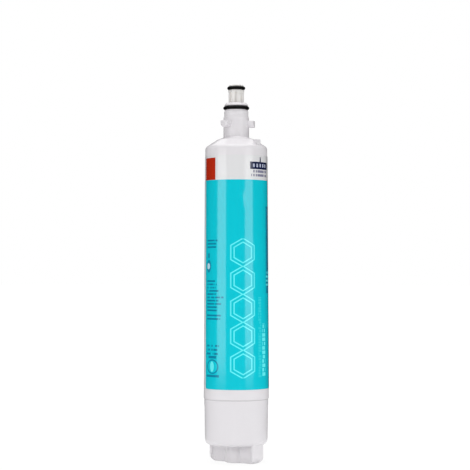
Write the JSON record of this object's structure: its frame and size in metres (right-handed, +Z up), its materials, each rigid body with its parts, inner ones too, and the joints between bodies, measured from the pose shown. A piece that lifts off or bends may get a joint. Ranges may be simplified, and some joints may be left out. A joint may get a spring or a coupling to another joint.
{
  "type": "refrigerator water filter cartridge",
  "caption": "Tall round filter cartridge with a bayonet neck, a sealed outlet spigot and a finger grip, which cleans drinking water inside a refrigerator.",
  "frame": {"origin": "on the cartridge's axis, at the flat underside of the finger grip that it stands on", "axes": "+Z up the axis towards the outlet spigot; -Y is the side that faces front when the cartridge is locked in place, marked by the tab on the shoulder"},
  "size_m": [0.052, 0.052, 0.299],
  "materials": {
    "white_plastic": "satin moulded polypropylene",
    "natural_plastic": "natural moulded polypropylene",
    "seal_rubber": "moulded rubber",
    "pressed_carbon": "pressed activated carbon",
    "fleece": "bonded fleece",
    "label_film": "printed gloss film",
    "tag_film": "laminated film"
  },
  "bodies": {
    "root": {"housing": "white_plastic", "end_cap": "white_plastic", "outlet_cap": "natural_plastic", "lower_block_cap": "natural_plastic", "carbon_block": "pressed_carbon", "fleece_wrap": "fleece", "upper_seal_ring": "seal_rubber", "lower_seal_ring": "seal_rubber", "label": "label_film", "identity_tag": "tag_film"}
  },
  "joints": []
}
